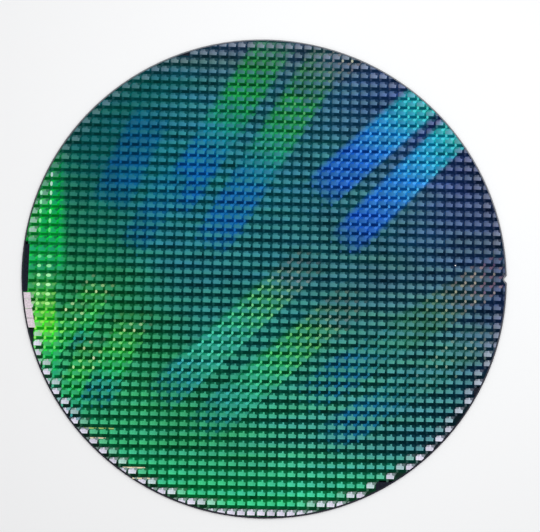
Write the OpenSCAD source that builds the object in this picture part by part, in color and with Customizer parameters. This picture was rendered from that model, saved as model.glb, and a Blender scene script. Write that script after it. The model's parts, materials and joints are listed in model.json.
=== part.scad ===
// Silicon wafer: one disc of single-crystal silicon with a ground edge and an
// orientation notch. It lies on its back face with the patterned face up.
// The origin is the centre of the back face, +Z leaves the patterned face and
// the notch is on the +X side.

/* [Disc] */
// Diameter over the rim
wafer_d = 200; // [100:5:300]
// Thickness between the two flat faces
wafer_t = 0.725; // [0.6:0.005:0.9]

/* [Ground edge] */
// Width of the ground band on each face, measured in from the rim
bevel_w = 0.35; // [0.28:0.01:0.42]
// Slope of each bevel, measured from the flat face
bevel_angle = 22; // [18:0.5:27]
// Radius that rolls each bevel over into the upright rim
rim_r = 0.2; // [0.1:0.01:0.24]

/* [Notch] */
// Depth of the notch, measured in from the rim
notch_depth = 1.1; // [0.9:0.05:1.4]
// Angle between the two flanks
notch_angle = 90; // [80:1:100]
// Radius at the bottom of the notch
notch_r = 0.9; // [0.7:0.05:1.1]
// Radius that rounds the corner between each flank and the rim
shoulder_r = 0.9; // [0.7:0.05:1.1]

/* [Hidden] */
$fn = 128;

wafer_r = wafer_d / 2;
half_t = wafer_t / 2;
flank_angle = notch_angle / 2;
// How far the shapes that are ground away run on past the ground edge
over = 0.2;

// Upper half of the rim, from the end of the bevel round to the middle of the
// thickness: x is measured out from the rim and y up from the middle
roll_steps = 4;
roll_angles = [for (i = [0:roll_steps]) (90 - bevel_angle) * (1 - i / roll_steps)];
bevel_fall = (bevel_w - rim_r * (1 - sin(bevel_angle))) * tan(bevel_angle);
roll_y = half_t - bevel_fall - rim_r * cos(bevel_angle);
upper_rim = [for (a = roll_angles) [rim_r * (cos(a) - 1), roll_y + rim_r * sin(a)]];
lower_rim = [for (i = [roll_steps:-1:0]) [upper_rim[i].x, -upper_rim[i].y]];
rim = concat(upper_rim, lower_rim);

// Centre of the bottom radius, and how far the flanks run out past it
bottom_x = wafer_r - notch_depth + notch_r;
flank_l = (notch_depth + over) / cos(flank_angle);
// Share of the bottom radius that each flank clears, and the share of it behind
// the centre where the open mouth starts
flank_share = 3 / 4;
mouth_share = 1 / 2;

// Place of a shoulder's centre, as a radius and an angle about the disc's
// centre, and the angle that it turns from the flank to the rim in flat facets
shoulder_at = wafer_r - shoulder_r;
flank_at = bottom_x * sin(flank_angle) - notch_r - shoulder_r;
shoulder_angle = flank_angle - asin(flank_at / shoulder_at);
shoulder_turn = shoulder_angle + 90 - flank_angle;
shoulder_facets = 3;

// Half section of the disc before it is notched
module disc_section() {
    polygon(concat(
        [[0, half_t], [wafer_r - bevel_w, half_t]],
        [for (p = rim) [wafer_r + p.x, p.y]],
        [[wafer_r - bevel_w, -half_t], [0, -half_t]]
    ));
}

// Section of what is ground away from an edge at x = 0. The bevels run on past
// the flat faces.
module ground_section(outward) {
    start_x = -bevel_w - over;
    start_y = half_t + over * tan(bevel_angle);
    polygon(concat(
        [[outward, start_y], [start_x, start_y]],
        rim,
        [[start_x, -start_y], [outward, -start_y]]
    ));
}

// Section of what is ground away between an edge and a centre in the notch
module notch_section(outward) {
    translate([notch_r, 0])
        mirror([1, 0])
            ground_section(outward);
}

// The disc's section is turned from the side opposite the notch
module disc() {
    rotate([0, 0, 180])
        rotate_extrude() disc_section();
}

// Bottom of the notch, ground round its own centre
module notch_bottom() {
    rotate_extrude() notch_section(notch_r);
}

// One flank, ground straight from beside the bottom's centre out past the rim
module notch_flank() {
    rotate([0, 0, 90 + flank_angle])
        rotate([90, 0, 0])
            linear_extrude(flank_l)
                notch_section(notch_r * flank_share);
}

// Open space between the two flanks, which starts inside the bottom radius
module notch_mouth() {
    start_x = -notch_r * mouth_share;
    mouth_x = flank_l * cos(flank_angle);
    mouth_y = flank_l * sin(flank_angle);
    translate([0, 0, -half_t - over])
        linear_extrude(wafer_t + 2 * over)
            polygon([[start_x, 0], [mouth_x, -mouth_y], [mouth_x, mouth_y]]);
}

// Corner between a flank and the rim, ground in facets that touch its radius
module notch_shoulder() {
    facet_turn = shoulder_turn / (shoulder_facets + 1);
    rotate([0, 0, shoulder_angle])
        translate([shoulder_at, 0, 0])
            for (i = [1:shoulder_facets])
                rotate([0, 0, -i * facet_turn])
                    translate([shoulder_r, shoulder_r / 2, 0])
                        rotate([90, 0, 0])
                            linear_extrude(shoulder_r) ground_section(shoulder_r);
}

module notch() {
    translate([bottom_x, 0, 0]) {
        notch_bottom();
        notch_mouth();
    }
    for (side = [0, 1])
        mirror([0, side, 0]) {
            translate([bottom_x, 0, 0]) notch_flank();
            notch_shoulder();
        }
}

module wafer() {
    color("slategray")
        translate([0, 0, half_t])
            difference() {
                disc();
                notch();
            }
}

wafer();
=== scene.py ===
import json
import math

import bpy
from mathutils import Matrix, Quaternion, Vector


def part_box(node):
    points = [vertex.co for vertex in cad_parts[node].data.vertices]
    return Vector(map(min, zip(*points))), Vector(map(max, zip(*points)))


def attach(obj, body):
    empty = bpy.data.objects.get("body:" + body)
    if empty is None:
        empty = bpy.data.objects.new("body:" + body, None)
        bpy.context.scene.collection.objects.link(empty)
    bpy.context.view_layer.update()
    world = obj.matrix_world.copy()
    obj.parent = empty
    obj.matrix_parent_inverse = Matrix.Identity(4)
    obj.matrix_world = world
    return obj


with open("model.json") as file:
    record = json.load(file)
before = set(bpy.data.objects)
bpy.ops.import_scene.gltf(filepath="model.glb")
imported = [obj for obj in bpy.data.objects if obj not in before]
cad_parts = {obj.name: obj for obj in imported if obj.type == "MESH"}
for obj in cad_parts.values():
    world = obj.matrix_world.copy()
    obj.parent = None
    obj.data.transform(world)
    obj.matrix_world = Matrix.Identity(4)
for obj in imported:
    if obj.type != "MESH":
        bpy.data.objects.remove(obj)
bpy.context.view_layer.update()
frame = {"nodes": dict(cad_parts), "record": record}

# Lengths below are in millimetres on the wafer: the origin is its centre, X
# points at the notch and Y points away from the camera.
MM = 0.001
LOW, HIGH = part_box("wafer")
TOP = HIGH.z / MM
RIM = (HIGH.y - LOW.y) / 2 / MM
NOTCH_X = next(m["pos_m"][0] for m in frame["record"]["mounts"] if m["name"] == "notch") / MM
# Radius at the bottom of the notch, as in the CAD
NOTCH_R = 0.9

# The die grid: its pitch, and its columns and rows counted from the centre
PITCH_X, PITCH_Y = 4.0, 3.9
COLUMNS, ROWS = range(-25, 26), range(-26, 27)
# How far out a printed die's centre lies at most, in general and at the lower
# right, between two bearings in degrees, and how far from the notch at least
LAST_DIE, LAST_DIE_LOWER_RIGHT, LOWER_RIGHT = 102.0, 99.0, (-65, -22)
NOTCH_CLEAR = 2.4
# Places of the grid, as column and row, where nothing was printed
BARE = [(-24, -7), (-24, -8), (12, -22), (13, -22), (-9, 24), (22, -12)]
# Half length and width of the bare strip at the left edge
STRIP_Y, STRIP_W = 10.5, 2.9

# How far from the centre the film, the patches on it and the dies reach
FILM_R = RIM - 0.6
PATCH_GAP = 0.05
PATCH_R = FILM_R - PATCH_GAP
PRINT_R = RIM - 0.75
# Heights from the flat face: where the film begins, where the plates begin in
# it, and its top
FILM_FOOT, PLATE_FOOT, FILM_TOP = -0.001, 0.003, 0.004
# The tallest plates: the model keeps to the CAD box but for 3% of its height
TALLEST = 0.0195


# ----------------------------------------------------------------- geometry

def clip(polygon, nx, ny, limit):
    """The part of a convex polygon where nx x + ny y is at most limit."""
    kept = []
    for (ax, ay), (bx, by) in zip(polygon, polygon[1:] + polygon[:1]):
        a = nx * ax + ny * ay - limit
        b = nx * bx + ny * by - limit
        if a <= 0:
            kept.append((ax, ay))
        if a * b < 0:
            t = a / (a - b)
            kept.append((ax + t * (bx - ax), ay + t * (by - ay)))
    return kept


def clip_to_disc(polygon, radius):
    """A convex polygon of about a die's size, cut off along a circle about the
    wafer's centre."""
    if max(math.hypot(x, y) for x, y in polygon) <= radius:
        return polygon
    cx = sum(x for x, y in polygon) / len(polygon)
    cy = sum(y for x, y in polygon) / len(polygon)
    middle = math.degrees(math.atan2(cy, cx))
    # straight cuts, this many degrees apart, follow the circle
    turn, each_side = 0.4, 6
    for step in range(-each_side, each_side + 1):
        a = math.radians(middle + step * turn)
        polygon = clip(polygon, math.cos(a), math.sin(a), radius)
        if len(polygon) < 3:
            return []
    return polygon


def area(polygon):
    """The area of a polygon whose corners run anticlockwise."""
    sides = zip(polygon, polygon[1:] + polygon[:1])
    return sum(ax * by - bx * ay for (ax, ay), (bx, by) in sides) / 2


def rectangle(x0, y0, x1, y1):
    """A rectangle from its lower left corner to its upper right one."""
    return [(x0, y0), (x1, y0), (x1, y1), (x0, y1)]


def blob(x, y, rx, ry, sides=10):
    """An ellipse with straight sides."""
    turns = [2 * math.pi * i / sides for i in range(sides)]
    return [(x + rx * math.cos(a), y + ry * math.sin(a)) for a in turns]


def flat_map(mesh):
    """Lays the bake's map out as a plan of the wafer, seen from above."""
    layer = mesh.uv_layers.new(name="OFBake")
    margin = 1
    span = 2 * RIM + margin
    for loop in mesh.loops:
        x, y, _ = mesh.vertices[loop.vertex_index].co / MM
        layer.data[loop.index].uv = (x / span + 0.5, y / span + 0.5)


def piece(name, vertices, faces, material):
    """Makes a mesh from millimetre points and fastens it to the wafer."""
    mesh = bpy.data.meshes.new(name)
    mesh.from_pydata([(x * MM, y * MM, z * MM) for x, y, z in vertices], [], faces)
    mesh.materials.append(material)
    flat_map(mesh)
    obj = bpy.data.objects.new(name, mesh)
    bpy.context.scene.collection.objects.link(obj)
    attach(obj, "root")


def plates(name, polygons, height, material):
    """One piece of many flat plates, each a closed prism that stands in the film."""
    bottom, top = TOP + PLATE_FOOT, TOP + height
    vertices, faces = [], []
    for polygon in polygons:
        n, first = len(polygon), len(vertices)
        vertices += [(x, y, bottom) for x, y in polygon]
        vertices += [(x, y, top) for x, y in polygon]
        faces.append([first + n - 1 - i for i in range(n)])
        faces.append([first + n + i for i in range(n)])
        for i in range(n):
            j = (i + 1) % n
            faces.append([first + i, first + j, first + n + j, first + n + i])
    piece(name, vertices, faces, material)


def printed(column, row):
    """Whether a die is printed at this place of the grid."""
    x, y = column * PITCH_X, row * PITCH_Y
    if math.hypot(x - RIM, y) < NOTCH_CLEAR or (column, row) in BARE:
        return False
    bearing = math.degrees(math.atan2(y, x))
    lower_right = LOWER_RIGHT[0] < bearing < LOWER_RIGHT[1]
    return math.hypot(x, y) < (LAST_DIE_LOWER_RIGHT if lower_right else LAST_DIE)


def die_plates(name, shapes, height, material):
    """One part of every die: its shapes about the die's centre, repeated over the
    wafer and cut off at its edge and at the bare strip."""
    smallest_area = 0.04
    polygons = []
    for column in COLUMNS:
        for row in ROWS:
            if not printed(column, row):
                continue
            x, y = column * PITCH_X, row * PITCH_Y
            beside_strip = x < PITCH_X - RIM and abs(y) < STRIP_Y
            for shape in shapes:
                cut = clip_to_disc([(x + px, y + py) for px, py in shape], PRINT_R)
                if beside_strip and cut:
                    cut = clip(cut, -1, 0, RIM - STRIP_W)
                if len(cut) > 2 and area(cut) > smallest_area:
                    polygons.append(cut)
    plates(name, polygons, height, material)


# -------------------------------------------------------------------- nodes

def linear(colour):
    """An sRGB colour, 0 to 255, as the linear colour that nodes use."""
    parts = [c / 255 for c in colour]
    parts = [c / 12.92 if c <= 0.04045 else ((c + 0.055) / 1.055) ** 2.4 for c in parts]
    return (*parts, 1.0)


class Value:
    """A node output that plain arithmetic builds further nodes from."""

    def __init__(self, tree, socket):
        self.tree, self.socket = tree, socket

    def build(self, operation, *others):
        """Adds a math node for this value and the others."""
        node = self.tree.nodes.new("ShaderNodeMath")
        node.operation = operation
        for target, value in zip(node.inputs, (self, *others)):
            connect(self.tree, value, target)
        return Value(self.tree, node.outputs[0])

    def __add__(self, other):
        return self.build("ADD", other)

    def __sub__(self, other):
        return self.build("SUBTRACT", other)

    def __mul__(self, other):
        return self.build("MULTIPLY", other)

    def most(self, other):
        return self.build("MAXIMUM", other)

    def size(self):
        return self.build("ABSOLUTE")

    def mixed(self, a, b):
        """a where this value is 0 and b where it is 1."""
        node = self.tree.nodes.new("ShaderNodeMix")
        # input 0 is the factor, and inputs 2 and 3 are the ones for numbers
        for target, value in zip(node.inputs[0:1] + node.inputs[2:4], (self, a, b)):
            connect(self.tree, value, target)
        return Value(self.tree, node.outputs[0])

    def ramp(self, start, end, low=0.0, high=1.0, smooth=False):
        """Rises or falls from low at start to high at end, and is level beyond."""
        node = self.tree.nodes.new("ShaderNodeMapRange")
        node.interpolation_type = "SMOOTHSTEP" if smooth else "LINEAR"
        values = (self, start, end, low, high)
        for target, value in zip(node.inputs, values):
            connect(self.tree, value, target)
        return Value(self.tree, node.outputs[0])

    def spread(self, low, high):
        """A noise, which mostly lies between 0.3 and 0.7, spread from low to high."""
        return self.ramp(0.3, 0.7, low, high)

    def colours(self, stops):
        """A colour ramp over this value, from (place, colour) stops."""
        node = self.tree.nodes.new("ShaderNodeValToRGB")
        elements = node.color_ramp.elements
        while len(elements) < len(stops):
            elements.new(0.5)
        for element, (place_on_ramp, colour) in zip(elements, stops):
            element.position = place_on_ramp
            element.color = linear(colour)
        connect(self.tree, self, node.inputs[0])
        return Value(self.tree, node.outputs[0])


def connect(tree, value, target):
    """Links a value to a node's input, or sets the input to a plain number."""
    if isinstance(value, Value):
        tree.links.new(value.socket, target)
    else:
        target.default_value = value


def vector(tree, operation, a, b):
    """A vector operation on two values, or on a value and plain numbers."""
    node = tree.nodes.new("ShaderNodeVectorMath")
    node.operation = operation
    connect(tree, a, node.inputs[0])
    connect(tree, b, node.inputs[1])
    out = "Value" if operation in ("DOT_PRODUCT", "LENGTH") else "Vector"
    return Value(tree, node.outputs[out])


def scaled(tree, colour, by):
    """A colour made lighter or darker by a number or a value."""
    node = tree.nodes.new("ShaderNodeVectorMath")
    node.operation = "SCALE"
    connect(tree, colour, node.inputs[0])
    connect(tree, by, node.inputs["Scale"])
    return Value(tree, node.outputs[0])


def blend(tree, factor, a, b):
    """Colour a where factor is 0 and colour b where it is 1."""
    node = tree.nodes.new("ShaderNodeMix")
    node.data_type = "RGBA"
    node.clamp_factor = True
    connect(tree, factor, node.inputs[0])
    # inputs 6 and 7 and output 2 are the ones for colours
    for target, colour in zip(node.inputs[6:8], (a, b)):
        connect(tree, colour if isinstance(colour, Value) else linear(colour), target)
    return Value(tree, node.outputs[2])


def place(tree):
    """Where a point is on the wafer, in millimetres."""
    coordinates = tree.nodes.new("ShaderNodeTexCoord")
    metres = Value(tree, coordinates.outputs["Object"])
    return vector(tree, "MULTIPLY", metres, (1 / MM, 1 / MM, 0))


def split(tree, point):
    """The x and y of a point."""
    parts = tree.nodes.new("ShaderNodeSeparateXYZ")
    connect(tree, point, parts.inputs[0])
    return Value(tree, parts.outputs[0]), Value(tree, parts.outputs[1])


def distance(tree, point):
    """How far a point is from the wafer's centre."""
    return vector(tree, "LENGTH", point, (0, 0, 0))


def towards(tree, point, bearing):
    """How far a point lies from the centre towards a bearing in degrees."""
    a = math.radians(bearing)
    return vector(tree, "DOT_PRODUCT", point, (math.cos(a), math.sin(a), 0))


def noise(tree, point, scale, detail=2.0):
    """Smooth noise over the wafer. Its patches are about 1 / scale mm wide."""
    node = tree.nodes.new("ShaderNodeTexNoise")
    node.inputs["Scale"].default_value = scale
    node.inputs["Detail"].default_value = detail
    connect(tree, point, node.inputs["Vector"])
    return Value(tree, node.outputs["Fac"])


def relief(tree, shader, height, strength):
    """Bump from a height that stands for up to ten micrometres."""
    node = tree.nodes.new("ShaderNodeBump")
    node.inputs["Strength"].default_value = strength
    node.inputs["Distance"].default_value = 0.01 * MM
    connect(tree, height, node.inputs["Height"])
    tree.links.new(node.outputs[0], shader.inputs["Normal"])


def new_material(name):
    """An empty material, its node tree and its shader."""
    material = bpy.data.materials.new(name)
    material.use_nodes = True
    tree = material.node_tree
    return material, tree, tree.nodes["Principled BSDF"]


def set_surface(tree, shader, colour, grain, roughness, metallic, bump):
    """Gives a shader its colour, and a grain to its roughness and its height."""
    connect(tree, colour, shader.inputs["Base Color"])
    connect(tree, grain.spread(*roughness), shader.inputs["Roughness"])
    shader.inputs["Metallic"].default_value = metallic
    relief(tree, shader, grain, bump)


# --------------------------------------------------- tint of the thin films

# The colour of the blocks and of the ground between them, first at the wafer's
# centre, then towards each bearing in degrees, from one distance to another
CENTRE = (56, 133, 138), (0, 46, 52)
TINTS = [
    (0, 0, 90, (84, 102, 115), (4, 29, 46)),
    (-90, 5, 98, (70, 206, 146), (0, 69, 28)),
    (85, 5, 60, (60, 124, 136), (2, 54, 66)),
    (115, 12, 55, (40, 133, 151), (0, 60, 68)),
    (-150, 28, 60, (46, 136, 105), (0, 52, 36)),
    (65, 25, 72, (66, 120, 134), (5, 50, 60)),
    (30, 50, 92, (84, 98, 150), (14, 33, 80)),
    (-45, 35, 90, (79, 149, 152), (0, 34, 43)),
    (160, 50, 78, (34, 102, 106), (0, 58, 58)),
    (214, 34, 80, (56, 154, 92), (0, 70, 18)),
    (-130, 46, 92, (64, 178, 128), (2, 66, 40)),
    (88, 80, 97, (96, 112, 124), (20, 44, 62)),
    (8, 68, 95, (80, 94, 123), (8, 26, 52)),
    (-90, 70, 92, (66, 204, 150), (0, 82, 40)),
]
# Which of the two colours
BLOCK, GROUND = 0, 1


def tinted(tree, point, which):
    """The films' tint over the wafer, of the blocks or of the ground."""
    colour = CENTRE[which]
    for bearing, near, far, *tint in TINTS:
        share = towards(tree, point, bearing).ramp(near, far)
        colour = blend(tree, share, colour, tint[which])
    return colour


# ---------------------------------------------- painted streaks of diffracted light

# Colours along the streaks, from head to tail
BLUE = [
    (0.0, (74, 204, 184)), (0.2, (66, 190, 202)), (0.42, (70, 172, 228)),
    (0.65, (62, 134, 218)), (1.0, (54, 106, 200)),
]
GREEN = [
    (0.0, (88, 142, 116)), (0.2, (48, 148, 82)), (0.38, (40, 162, 88)),
    (0.52, (38, 154, 134)), (0.68, (24, 114, 178)), (1.0, (18, 102, 186)),
]
ROSE = [
    (0.0, (124, 130, 120)), (0.13, (88, 144, 108)), (0.27, (56, 158, 86)),
    (0.42, (50, 162, 96)), (0.54, (50, 158, 140)), (0.68, (33, 121, 178)),
    (1.0, (20, 102, 184)),
]
PINK = [
    (0.0, (150, 130, 142)), (0.45, (116, 124, 124)), (0.7, (84, 134, 110)),
    (1.0, (72, 136, 100)),
]
SKY = [
    (0.0, (22, 112, 152)), (0.5, (16, 98, 164)), (1.0, (16, 98, 156)),
]
PALE = [
    (0.0, (80, 104, 106)), (0.16, (104, 128, 130)), (0.33, (92, 188, 118)),
    (0.5, (70, 198, 150)), (0.68, (76, 204, 172)), (0.84, (54, 166, 172)),
    (1.0, (26, 122, 150)),
]
LEAF = [
    (0.0, (80, 104, 106)), (0.16, (92, 122, 118)), (0.33, (84, 176, 104)),
    (0.5, (76, 204, 126)), (0.68, (64, 195, 150)), (0.84, (52, 166, 156)),
    (1.0, (26, 118, 140)),
]
DULL = [
    (0.0, (140, 104, 134)), (0.14, (124, 104, 120)), (0.24, (104, 108, 104)),
    (0.38, (60, 114, 90)), (0.52, (44, 112, 98)), (0.65, (42, 122, 132)),
    (0.8, (24, 108, 154)), (1.0, (18, 98, 132)),
]
SLATE = [
    (0.0, (118, 132, 142)), (0.12, (76, 120, 124)), (0.3, (34, 104, 98)),
    (0.6, (28, 106, 124)), (0.8, (24, 114, 160)), (1.0, (18, 102, 136)),
]
TUFT = [
    (0.0, (70, 144, 88)), (0.2, (84, 184, 100)), (0.42, (76, 212, 100)),
    (0.6, (52, 206, 110)), (0.78, (40, 164, 150)), (1.0, (16, 94, 140)),
]
UPPER_EDGE = [
    (0.0, (56, 140, 118)), (0.25, (24, 168, 112)), (0.5, (24, 212, 110)),
    (0.75, (44, 210, 122)), (1.0, (60, 196, 124)),
]
LOWER_EDGE = [
    (0.0, (84, 196, 116)), (0.22, (134, 216, 94)), (0.42, (148, 246, 84)),
    (0.62, (64, 208, 124)), (1.0, (30, 160, 148)),
]
# Each streak: head x, y and tail x, y of its middle line, half width, then its
# strength on the small parts, on the ground and on the blocks, how bright the
# ground is, how much the small parts near the head sparkle, and its colours
STREAKS = [
    # upper right pair
    (72, 82, 21, 34, 7.5, 1.0, 1.0, 0.86, 0.78, 0.0, BLUE),
    (84, 68, 31, 12.5, 6.8, 1.0, 1.0, 0.86, 0.78, 0.0, BLUE),
    # top pair, and the pink patch beside its head
    (4, 102, -40, 26, 7.8, 0.9, 0.8, 0.42, 1.3, 0.0, GREEN),
    (27, 98, -24, 10, 7.7, 0.9, 0.8, 0.42, 1.3, 0.1, ROSE),
    (40, 100, 12, 76, 5.5, 0.7, 0.2, 0.12, 1.2, 0.5, PINK),
    # faint patches, upper left
    (-48, 68, -66, 26, 7.6, 0.5, 0.55, 0.35, 1.4, 0.0, SKY),
    (-38, 42, -56, 8, 5.5, 0.4, 0.35, 0.2, 1.3, 0.0, SKY),
    # centre pair
    (20, 8, -43, -53, 7.0, 1.0, 0.7, 0.35, 0.6, 0.15, PALE),
    (38, -8, -26, -65, 7.0, 1.0, 0.7, 0.35, 0.54, 0.15, LEAF),
    # right pair
    (100, 6, 16, -52, 7.0, 0.95, 0.6, 0.25, 1.0, 0.3, DULL),
    (93, -22, 25, -69, 6.5, 0.85, 0.6, 0.15, 1.1, 0.3, SLATE),
    # left tufts
    (-68, -5, -80, -34, 5.5, 1.0, 0.7, 0.45, 0.58, 0.9, TUFT),
    (-76, -13, -90, -42, 4.5, 1.0, 0.7, 0.45, 0.58, 0.9, TUFT),
    (-68, -30, -82, -64, 6.0, 1.0, 0.7, 0.45, 0.58, 0.9, TUFT),
    (-53, -18, -68, -56, 6.0, 1.0, 0.7, 0.45, 0.58, 0.9, TUFT),
    # left edge
    (-94, 56, -90, -8, 8.0, 0.15, 0.88, 0.85, 1.05, 0.0, UPPER_EDGE),
    (-93, -3, -88, -56, 6.0, 0.85, 0.92, 0.85, 1.1, 0.1, LOWER_EDGE),
]


def streak_tree():
    """An empty node group from a place to the colours and strengths there."""
    tree = bpy.data.node_groups.new("streaks", "ShaderNodeTree")
    tree.interface.new_socket("Place", in_out="INPUT", socket_type="NodeSocketVector")
    for name in ("Bright", "Deep"):
        tree.interface.new_socket(name, in_out="OUTPUT", socket_type="NodeSocketColor")
    for name in ("Small", "Ground", "Block", "Sparkle"):
        tree.interface.new_socket(name, in_out="OUTPUT", socket_type="NodeSocketFloat")
    return tree


def along_and_across(tree, point, x0, y0, x1, y1, half):
    """Where a point lies on a streak: 0 at the head and 1 at the tail, and 0 on the
    middle line and 1 or -1 half a width beside it."""
    dx, dy = x1 - x0, y1 - y0
    length = math.hypot(dx, dy)
    places = []
    for ax, ay in ((dx / length**2, dy / length**2), (-dy / length / half, dx / length / half)):
        reach = vector(tree, "DOT_PRODUCT", point, (ax, ay, 0))
        places.append(reach - (x0 * ax + y0 * ay))
    return places


def streak_field():
    """Node group: the streaks' colours and strengths at a place."""
    tree = streak_tree()
    start = tree.nodes.new("NodeGroupInput")
    end = tree.nodes.new("NodeGroupOutput")
    point = Value(tree, start.outputs[0])
    # where no streak reaches, the strengths are 0 and this colour isn't seen
    bright, glow, totals = (60, 150, 130), 1.0, None
    for *line, small, ground, block, shine, sparkle, stops in STREAKS:
        along, across = along_and_across(tree, point, *line)
        # soft sides, from a quarter of the half width inside to a quarter outside,
        # and a head and a tail that fade
        mask = across.size().ramp(1.25, 0.75, smooth=True)
        mask = mask * along.ramp(-0.02, 0.15) * along.ramp(1.03, 0.85)
        # where this streak begins, its colours take over from those before it
        nearest = mask.ramp(0.0, 0.25)
        bright = blend(tree, nearest, bright, along.colours(stops))
        glow = nearest.mixed(glow, shine)
        shares = [mask * strength for strength in (small, ground, block)]
        # painted sparkle, in the half at the head
        shares.append(mask * along.ramp(0.55, 0.05, 0.0, sparkle))
        totals = shares if totals is None else [a.most(b) for a, b in zip(totals, shares)]
    # the ground answers with a deeper colour than the small parts
    richer = vector(tree, "MULTIPLY_ADD", bright, (0.35, 0.7, 1.0))
    richer.socket.node.inputs[2].default_value = (0.12, 0.3, 0.1)
    deep = scaled(tree, vector(tree, "MULTIPLY", bright, richer), glow)
    for value, target in zip([bright, deep] + totals, end.inputs):
        connect(tree, value, target)
    return tree


# ---------------------------------------------------------------- materials

# Colours of a part's painted sparkle and of the cells along the wafer's edge
SPARKLE = (236, 244, 190)
PALE_CELL = (222, 218, 236)


def die_centre(tree, point, shift):
    """The centre of the die that a point belongs to."""
    moved = vector(tree, "ADD", point, (shift[0] + PITCH_X / 2, shift[1] + PITCH_Y / 2, 0))
    return vector(tree, "SNAP", moved, (PITCH_X, PITCH_Y, 1))


def die_chance(tree, die):
    """A number from 0 to 1 that differs from die to die."""
    random = tree.nodes.new("ShaderNodeTexWhiteNoise")
    random.noise_dimensions = "2D"
    connect(tree, die, random.inputs["Vector"])
    return Value(tree, random.outputs["Value"])


def die_tint(tree, point, ground, block, fade):
    """Shares of the two tints added up, and darkened towards the upper right."""
    _, y = split(tree, point)
    bottom, middle = -60, -15
    low = scaled(tree, tinted(tree, point, GROUND), y.ramp(bottom, middle, *ground))
    high = scaled(tree, tinted(tree, point, BLOCK), y.ramp(bottom, middle, *block))
    away = towards(tree, point, 30).ramp(-20, 70, 1.0, fade)
    return scaled(tree, vector(tree, "ADD", low, high), away)


def drift(tree, point):
    """Factors that turn a colour a little to green or to blue, in long bands along
    the rows."""
    rows = noise(tree, vector(tree, "MULTIPLY", point, (0.12, 1.0, 0)), 0.22)
    green, blue = rows.ramp(0.35, 0.65, 1.04, 0.96), rows.ramp(0.35, 0.65, 0.88, 1.12)
    node = tree.nodes.new("ShaderNodeCombineXYZ")
    for target, value in zip(node.inputs, (1.0, green, blue)):
        connect(tree, value, target)
    return Value(tree, node.outputs[0])


def painted_side_light(tree, point, die):
    """Painted side light and highlights on a block. At the lower left of the wafer its
    left side is painted a little lighter, and at the upper right its right side. Its
    lower right corner has a painted highlight everywhere, and so has its foot low on
    the wafer."""
    _, y = split(tree, point)
    right, up = split(tree, vector(tree, "SUBTRACT", point, die))
    painted_tilt = towards(tree, point, 50).ramp(-60, 70, -0.1, 0.17)
    foot_highlight = up.ramp(-0.7, -1.15) * y.ramp(-10, -60, 0.0, 0.16)
    # painted highlight at the lower right corner of the block
    corner = (right - up).ramp(1.2, 2.4, 1.0, 1.15)
    return ((right + 0.1) * painted_tilt + 1.0) * corner * (foot_highlight + 1.0)


def die_level(tree, point, die, chance, answer, painted_sides):
    """How light or dark a die is, from place to place and from one to the next."""
    cloud = noise(tree, point, 0.05)
    level = chance.ramp(0, 1, 0.9, 1.09) * cloud.spread(0.94, 1.06)
    if answer == "Ground":
        patches = noise(tree, vector(tree, "MULTIPLY", point, (0.6, 1.0, 0)), 0.16)
        level = level * patches.ramp(0.32, 0.68, 0.66, 1.32)
    # painted side light and painted highlights on the block
    if painted_sides:
        level = level * painted_side_light(tree, point, die)
    return level


def edge_share(tree, point, die):
    """How far a die turns to the edge colour: fully along the wafer's edge at the
    bottom, a tenth at the top and the right, and not at all beside the notch and
    the bare strip."""
    _, y = split(tree, point)
    outermost = distance(tree, die).ramp(94.5, 97.5, smooth=True)
    side = towards(tree, die, 254).ramp(-13.7, 55, 0.1, 1.0)
    return outermost * side * y.size().ramp(10, 14)


def die_material(field, name, shift, ground, block, answer, gain, edge_pale, fade=1.0,
                 painted_sides=False, spark=0.0, edge=PALE_CELL):
    """The look of one part of the dies. shift moves the part back to the centre of
    its die. ground and block are its shares of the two tints, each at the bottom of
    the wafer and above the middle. answer says which strength of the streaks it
    follows, and gain how bright it is in them, by channel. edge_pale is how far it
    turns to the edge colour along the wafer's edge, and fade how dark it becomes at
    the upper right. A part with painted_sides gets painted side light, lighter at
    one side, with painted highlights at a corner and at the foot. spark is how much
    painted sparkle it gets near the head of a streak."""
    material, tree, shader = new_material(name)
    point = place(tree)
    die = die_centre(tree, point, shift)
    chance = die_chance(tree, die)

    streaks = tree.nodes.new("ShaderNodeGroup")
    streaks.node_tree = field
    # the small parts answer a whole die at a time
    connect(tree, die if answer == "Small" else point, streaks.inputs[0])
    glow = Value(tree, streaks.outputs["Deep" if answer == "Ground" else "Bright"])
    strength = Value(tree, streaks.outputs[answer])

    colour = die_tint(tree, point, ground, block, fade)
    colour = blend(tree, strength, colour, vector(tree, "MULTIPLY", glow, gain))
    if spark:
        sparkle = Value(tree, streaks.outputs["Sparkle"]) * chance.ramp(0.4, 0.75, 0.0, spark)
        colour = blend(tree, sparkle, colour, SPARKLE)
    colour = vector(tree, "MULTIPLY", colour, drift(tree, point))
    colour = blend(tree, edge_share(tree, point, die) * edge_pale, colour, edge)
    colour = scaled(tree, colour, die_level(tree, point, die, chance, answer, painted_sides))

    set_surface(tree, shader, colour, noise(tree, point, 2.0, 4.0), (0.34, 0.46), 0.95, 0.2)
    shader.inputs["Specular IOR Level"].default_value = 0.2
    return material


# Colours of the glints from the lowest to the highest, and how far they reach
GLINT = [
    (0.0, (170, 244, 130)), (0.18, (184, 252, 186)), (0.4, (80, 216, 140)),
    (0.55, (84, 222, 118)), (0.72, (156, 248, 184)), (1.0, (188, 210, 214)),
]
GLINT_Y = -17, 40


def glint_material():
    """Painted glints: white near the ends of the columns and green between."""
    material, tree, shader = new_material("glint")
    point = place(tree)
    _, y = split(tree, point)
    colour = y.ramp(*GLINT_Y).colours(GLINT)
    set_surface(tree, shader, colour, noise(tree, point, 1.5, 4.0), (0.4, 0.5), 0.8, 0.2)
    return material


def grained(grain, dark, light):
    """A colour grained between a darker and a lighter tone."""
    return grain.colours([(0.3, dark), (0.7, light)])


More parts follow.
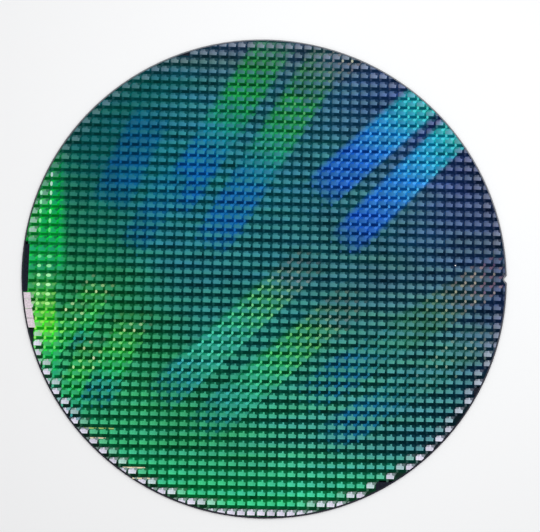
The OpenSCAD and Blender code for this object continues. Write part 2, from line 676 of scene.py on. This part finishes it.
def plain_material(name, dark, light, roughness, metallic):
    """A surface of one colour, grained between a darker and a lighter tone."""
    material, tree, shader = new_material(name)
    grain = noise(tree, place(tree), 1.5, 6.0)
    rough = roughness - 0.06, roughness + 0.06
    set_surface(tree, shader, grained(grain, dark, light), grain, rough, metallic, 0.4)
    return material


def silicon_material():
    """Bare silicon: a lapped grey back, and a ground edge with a painted reflection,
    dark at the bottom and the left and lighter at the top and the right."""
    material, tree, shader = new_material("silicon")
    point = place(tree)
    grain = noise(tree, point, 1.5, 6.0)
    back = grained(grain, (118, 120, 126), (134, 136, 142))
    dark = grained(grain, (38, 34, 46), (48, 44, 58))
    light = grained(grain, (112, 114, 120), (132, 134, 140))
    # painted reflection on the edge: dark towards the lower left, light towards the upper right
    edge = blend(tree, towards(tree, point, 72.5).ramp(-30.1, 70.3), dark, light)
    outermost = distance(tree, point).ramp(RIM - 0.8, RIM - 0.65)
    set_surface(tree, shader, blend(tree, outermost, back, edge), grain, (0.36, 0.5), 0.8, 0.4)
    return material


# ------------------------------------------------------------ film and dies

def film_outline():
    """The film's edge: a circle that turns in round the notch."""
    notch_r = NOTCH_R + RIM - FILM_R
    centre_x = NOTCH_X + NOTCH_R
    # where the straight flanks, which begin at 45 degrees, meet the circle
    flank_y = notch_r * math.sin(math.pi / 4) + 1.05
    start = math.asin(flank_y / FILM_R)
    rim_steps, notch_steps = 360, 8
    points = []
    for i in range(rim_steps + 1):
        a = start + (2 * math.pi - 2 * start) * i / rim_steps
        points.append((FILM_R * math.cos(a), FILM_R * math.sin(a)))
    for i in range(notch_steps + 1):
        a = math.radians(225 - 90 * i / notch_steps)
        points.append((centre_x + notch_r * math.cos(a), notch_r * math.sin(a)))
    return points


def film(field):
    """The thin stack of films that covers the flat face."""
    look = die_material(
        field, "film", shift=(-0.4, 0.6), ground=(1.2, 1.2), block=(0, 0), answer="Ground",
        gain=(0.35, 0.62, 0.66), edge_pale=0.8, edge=(26, 33, 33),
    )
    outline = film_outline()
    n = len(outline)
    low, high = TOP + FILM_FOOT, TOP + FILM_TOP
    vertices = [(x, y, low) for x, y in outline] + [(x, y, high) for x, y in outline]
    vertices += [(0, 0, low), (0, 0, high)]
    faces = []
    for i in range(n):
        j = (i + 1) % n
        faces.append([2 * n, j, i])
        faces.append([2 * n + 1, n + i, n + j])
        faces.append([i, j, n + j, n + i])
    piece("film", vertices, faces, look)


def strips(field):
    """The dark strip in the street below each die."""
    look = die_material(
        field, "strips", shift=(-0.5, 1.0), ground=(0.85, 0.85), block=(0, 0),
        answer="Ground", gain=(0.1, 0.32, 0.42), edge_pale=0.8, edge=(12, 20, 22),
    )
    die_plates("strips", [rectangle(-0.68, -2.5, 2.28, -1.6)], 0.006, look)


def skirts(field):
    """The lighter ground round the blocks."""
    look = die_material(
        field, "skirts", shift=(0, 0), ground=(2.2, 2.1), block=(0.02, 0.08),
        answer="Ground", gain=(0.8, 1.08, 1.08), edge_pale=0.7, fade=0.8, edge=(46, 56, 54),
    )
    shapes = [
        rectangle(-1.99, -0.72, 1.99, 0.6),
        rectangle(-1.72, -1.4, 1.42, -0.74),
        rectangle(-1.62, 0.62, 0.68, 1.12),
    ]
    die_plates("skirts", shapes, 0.008, look)


def flanks(field):
    """The narrow block at the left of each die, with painted shade: it is dark at the wafer's
    upper right.
    """
    # fade paints it dark towards the upper right, as shade
    look = die_material(
        field, "flanks", shift=(0, 0), ground=(0.3, 0.3), block=(1.0, 0.85),
        answer="Block", gain=(0.5, 0.55, 0.6), edge_pale=1.0, fade=0.35,
    )
    shape = [(-1.74, -1.25), (-1.48, -1.25), (-1.48, 0.36), (-1.6, 0.36), (-1.74, 0.1)]
    die_plates("flanks", [shape], 0.016, look)


def bases(field):
    """The three large blocks side by side."""
    # the blocks get painted side light and painted highlights
    look = die_material(
        field, "bases", shift=(0, 0), ground=(0, 0), block=(1.05, 1.12),
        answer="Block", gain=(0.45, 0.62, 0.74), edge_pale=1.0, painted_sides=True,
    )
    shapes = [
        rectangle(-1.45, -1.25, -0.68, 0.36),
        rectangle(-0.65, -1.25, 0.62, 0.4),
        [(0.65, -1.25), (1.28, -1.25), (1.5, 0.1), (1.5, 0.42), (0.65, 0.42)],
    ]
    die_plates("bases", shapes, 0.016, look)


def shoulders(field):
    """The lower block above the left of the large ones."""
    look = die_material(
        field, "shoulders", shift=(0, 0), ground=(2.4, 1.0), block=(0.07, 0.62),
        answer="Ground", gain=(1.3, 1.25, 1.25), edge_pale=0.6,
    )
    shape = [(-1.4, 0.4), (-0.14, 0.43), (-0.14, 1.0), (-1.05, 1.0), (-1.33, 0.82)]
    die_plates("shoulders", [shape], 0.014, look)


def towers(field):
    """The small block above the middle of the large ones."""
    look = die_material(
        field, "towers", shift=(0, 0), ground=(0, 0.3), block=(1.15, 0.78),
        answer="Block", gain=(0.55, 0.56, 0.6), edge_pale=1.0,
    )
    die_plates("towers", [rectangle(-0.12, 0.43, 0.52, 1.08)], 0.018, look)


def spots(field):
    """The round spot at the upper right of each die."""
    look = die_material(
        field, "spots", shift=(-0.2, 0), ground=(1.4, 1.4), block=(0.05, 0.14),
        answer="Small", gain=(1.1, 1.08, 1.1), edge_pale=0.3, fade=0.75, spark=0.5,
    )
    die_plates("spots", [blob(1.27, 0.6, 0.76, 0.6)], 0.019, look)


def marks(field):
    """The small round mark in the street at the right."""
    look = die_material(
        field, "marks", shift=(-0.6, 0), ground=(1.15, 1.25), block=(0, 0),
        answer="Small", gain=(0.75, 0.8, 0.8), edge_pale=0.1, fade=0.8,
    )
    die_plates("marks", [blob(2.1, 1.05, 0.4, 0.4)], 0.010, look)


def bars(field):
    """The upright bar in the street below each die."""
    look = die_material(
        field, "bars", shift=(0, 1.0), ground=(1.0, 1.05), block=(0.06, 0.12),
        answer="Small", gain=(1.06, 1.1, 1.1), edge_pale=0.1, fade=0.9, spark=1.0,
    )
    die_plates("bars", [blob(-1.3, -1.92, 0.48, 0.68)], 0.012, look)


# -------------------------------------------------- what is beside the dies

def bare_patches():
    """The places of the grid that were left unprinted, and the bare strip."""
    shapes = []
    for column, row in BARE:
        x, y = PITCH_X * (column - 0.5), PITCH_Y * (row - 0.5)
        shapes.append(rectangle(x, y, x + PITCH_X, y + PITCH_Y))
    shapes.append(rectangle(-RIM, -STRIP_Y, STRIP_W - RIM - PATCH_GAP, STRIP_Y))
    cut = [clip_to_disc(shape, PATCH_R) for shape in shapes]
    look = plain_material("bare", (16, 18, 28), (34, 38, 50), 0.4, 0.9)
    plates("bare_patches", [shape for shape in cut if len(shape) > 2], 0.006, look)


def glints():
    """Painted glints, bright spots on the dies of the two columns beside the left edge:
    upright in the upper rows, wide in the lower ones, and none between."""
    polygons = []
    for column, last_row, wide in ((-22, 10, 1.05), (-23, 8, 0.8)):
        for row in range(-4, last_row + 1):
            x, y = column * PITCH_X, row * PITCH_Y
            if row > 3:
                polygons.append(blob(x - 1.35, y - 0.3, 0.5, 1.0))
            elif row < 2:
                polygons.append(blob(x - 0.9, y + 0.4, wide, 0.7))
    plates("glints", polygons, TALLEST, glint_material())


def pale_rim():
    """Pale cells between the dies and the edge, below the bare strip."""
    inner, gap = 96.6, 0.15
    polygons = []
    for row in (-3, -4, -5, -6):
        low = (row - 0.5) * PITCH_Y + gap
        high = min(low + PITCH_Y - gap, -STRIP_Y - 2 * gap)
        corners = (inner, low), (inner, high), (PATCH_R, high), (PATCH_R, low)
        polygons.append([(-math.sqrt(r * r - y * y), y) for r, y in corners])
    look = plain_material("pale_rim", (200, 186, 196), (236, 224, 232), 0.5, 0.6)
    plates("pale_rim", polygons, TALLEST, look)


def pale_lines():
    """Short pale lines beside the lower left edge: each one's left end x, y, its
    length and its two tones."""
    cream, green = ((216, 206, 170), (240, 226, 190)), ((140, 176, 84), (176, 204, 110))
    half = 0.25
    lines = [
        (-72, -65.4, 12, green), (-69.5, -69.3, 6.5, cream),
        (-56, -80.8, 9, cream), (-52, -85, 7, cream),
    ]
    for number, (x, y, length, tones) in enumerate(lines, 1):
        name = "pale_line_%d" % number
        look = plain_material(name, *tones, 0.5, 0.3)
        plates(name, [rectangle(x, y - half, x + length, y + half)], 0.018, look)


def speck():
    """The one bright speck, at the right."""
    look = plain_material("speck", (240, 240, 240), (252, 252, 252), 0.6, 0.0)
    plates("speck", [blob(78.5, 5.2, 0.26, 0.26, 8)], 0.018, look)


# -------------------------------------------------------------------- stage

def set_camera():
    """The camera of the photo, fitted to the wafer's outline and its die grid."""
    azimuth, elevation, roll = (math.radians(a) for a in (-15.5, 79.6, 16.85))
    aim, away = Vector((1.58, 2.84, TOP)) * MM, 0.655
    back = Vector((
        math.sin(azimuth) * math.cos(elevation),
        -math.cos(azimuth) * math.cos(elevation),
        math.sin(elevation),
    ))
    data = bpy.data.cameras.new("camera")
    data.lens = 106
    data.sensor_width = 36
    camera = bpy.data.objects.new("camera", data)
    bpy.context.scene.collection.objects.link(camera)
    camera.location = aim + back * away
    camera.rotation_mode = "QUATERNION"
    camera.rotation_quaternion = (-back).to_track_quat("-Z", "Y") @ Quaternion((0, 0, 1), roll)
    bpy.context.scene.camera = camera


def floor_material():
    """A matt white floor with a painted pool of light: lightest beyond the upper right of the
    wafer and greyer further off.
    """
    material, tree, shader = new_material("floor")
    from_lightest = vector(tree, "SUBTRACT", place(tree), (60, 70, 0))
    # painted light falloff over the floor
    shade = distance(tree, from_lightest).ramp(60, 280)
    tone = shade.colours([(0.0, (253, 254, 255)), (1.0, (232, 232, 233))])
    connect(tree, tone, shader.inputs["Base Color"])
    shader.inputs["Roughness"].default_value = 0.8
    shader.inputs["Specular IOR Level"].default_value = 0.1
    return material


def set_floor():
    """A floor that the wafer lies on, 6 m across."""
    half = 3.0
    mesh = bpy.data.meshes.new("floor")
    corners = [(x, y, 0) for x, y in rectangle(-half, -half, half, half)]
    mesh.from_pydata(corners, [], [(0, 1, 2, 3)])
    mesh.materials.append(floor_material())
    floor = bpy.data.objects.new("floor", mesh)
    bpy.context.scene.collection.objects.link(floor)


def set_world():
    """An even white room. It looks a little brighter to the camera than its light is."""
    lit, seen_as = 0.92, 1.0
    world = bpy.data.worlds.new("world")
    bpy.context.scene.world = world
    world.use_nodes = True
    tree = world.node_tree
    background = tree.nodes["Background"]
    path = tree.nodes.new("ShaderNodeLightPath")
    seen = Value(tree, path.outputs["Is Camera Ray"])
    connect(tree, seen.ramp(0, 1, lit, seen_as), background.inputs["Strength"])
    background.inputs["Color"].default_value = (1, 1, 1, 1)


def set_lamp():
    """One large soft lamp, high at the upper right."""
    data = bpy.data.lights.new("softbox", "AREA")
    data.shape = "DISK"
    data.size = 1.0
    data.energy = 3.0
    lamp = bpy.data.objects.new("softbox", data)
    bpy.context.scene.collection.objects.link(lamp)
    lamp.location = (0.8, 0.7, 1.1)
    lamp.rotation_mode = "QUATERNION"
    lamp.rotation_quaternion = (-lamp.location).to_track_quat("-Z", "Y")


# -------------------------------------------------------------------- build

def build():
    """The film and the parts of the dies, then what lies beside them."""
    field = streak_field()
    for part in (film, strips, skirts, flanks, bases, shoulders, towers, spots, marks, bars):
        part(field)
    for part in (bare_patches, glints, pale_rim, pale_lines, speck):
        part()
    wafer = frame["nodes"]["wafer"]
    wafer.data.materials.clear()
    wafer.data.materials.append(silicon_material())


build()
set_floor()
set_world()
set_lamp()
set_camera()
bpy.context.scene.view_settings.view_transform = "Standard"
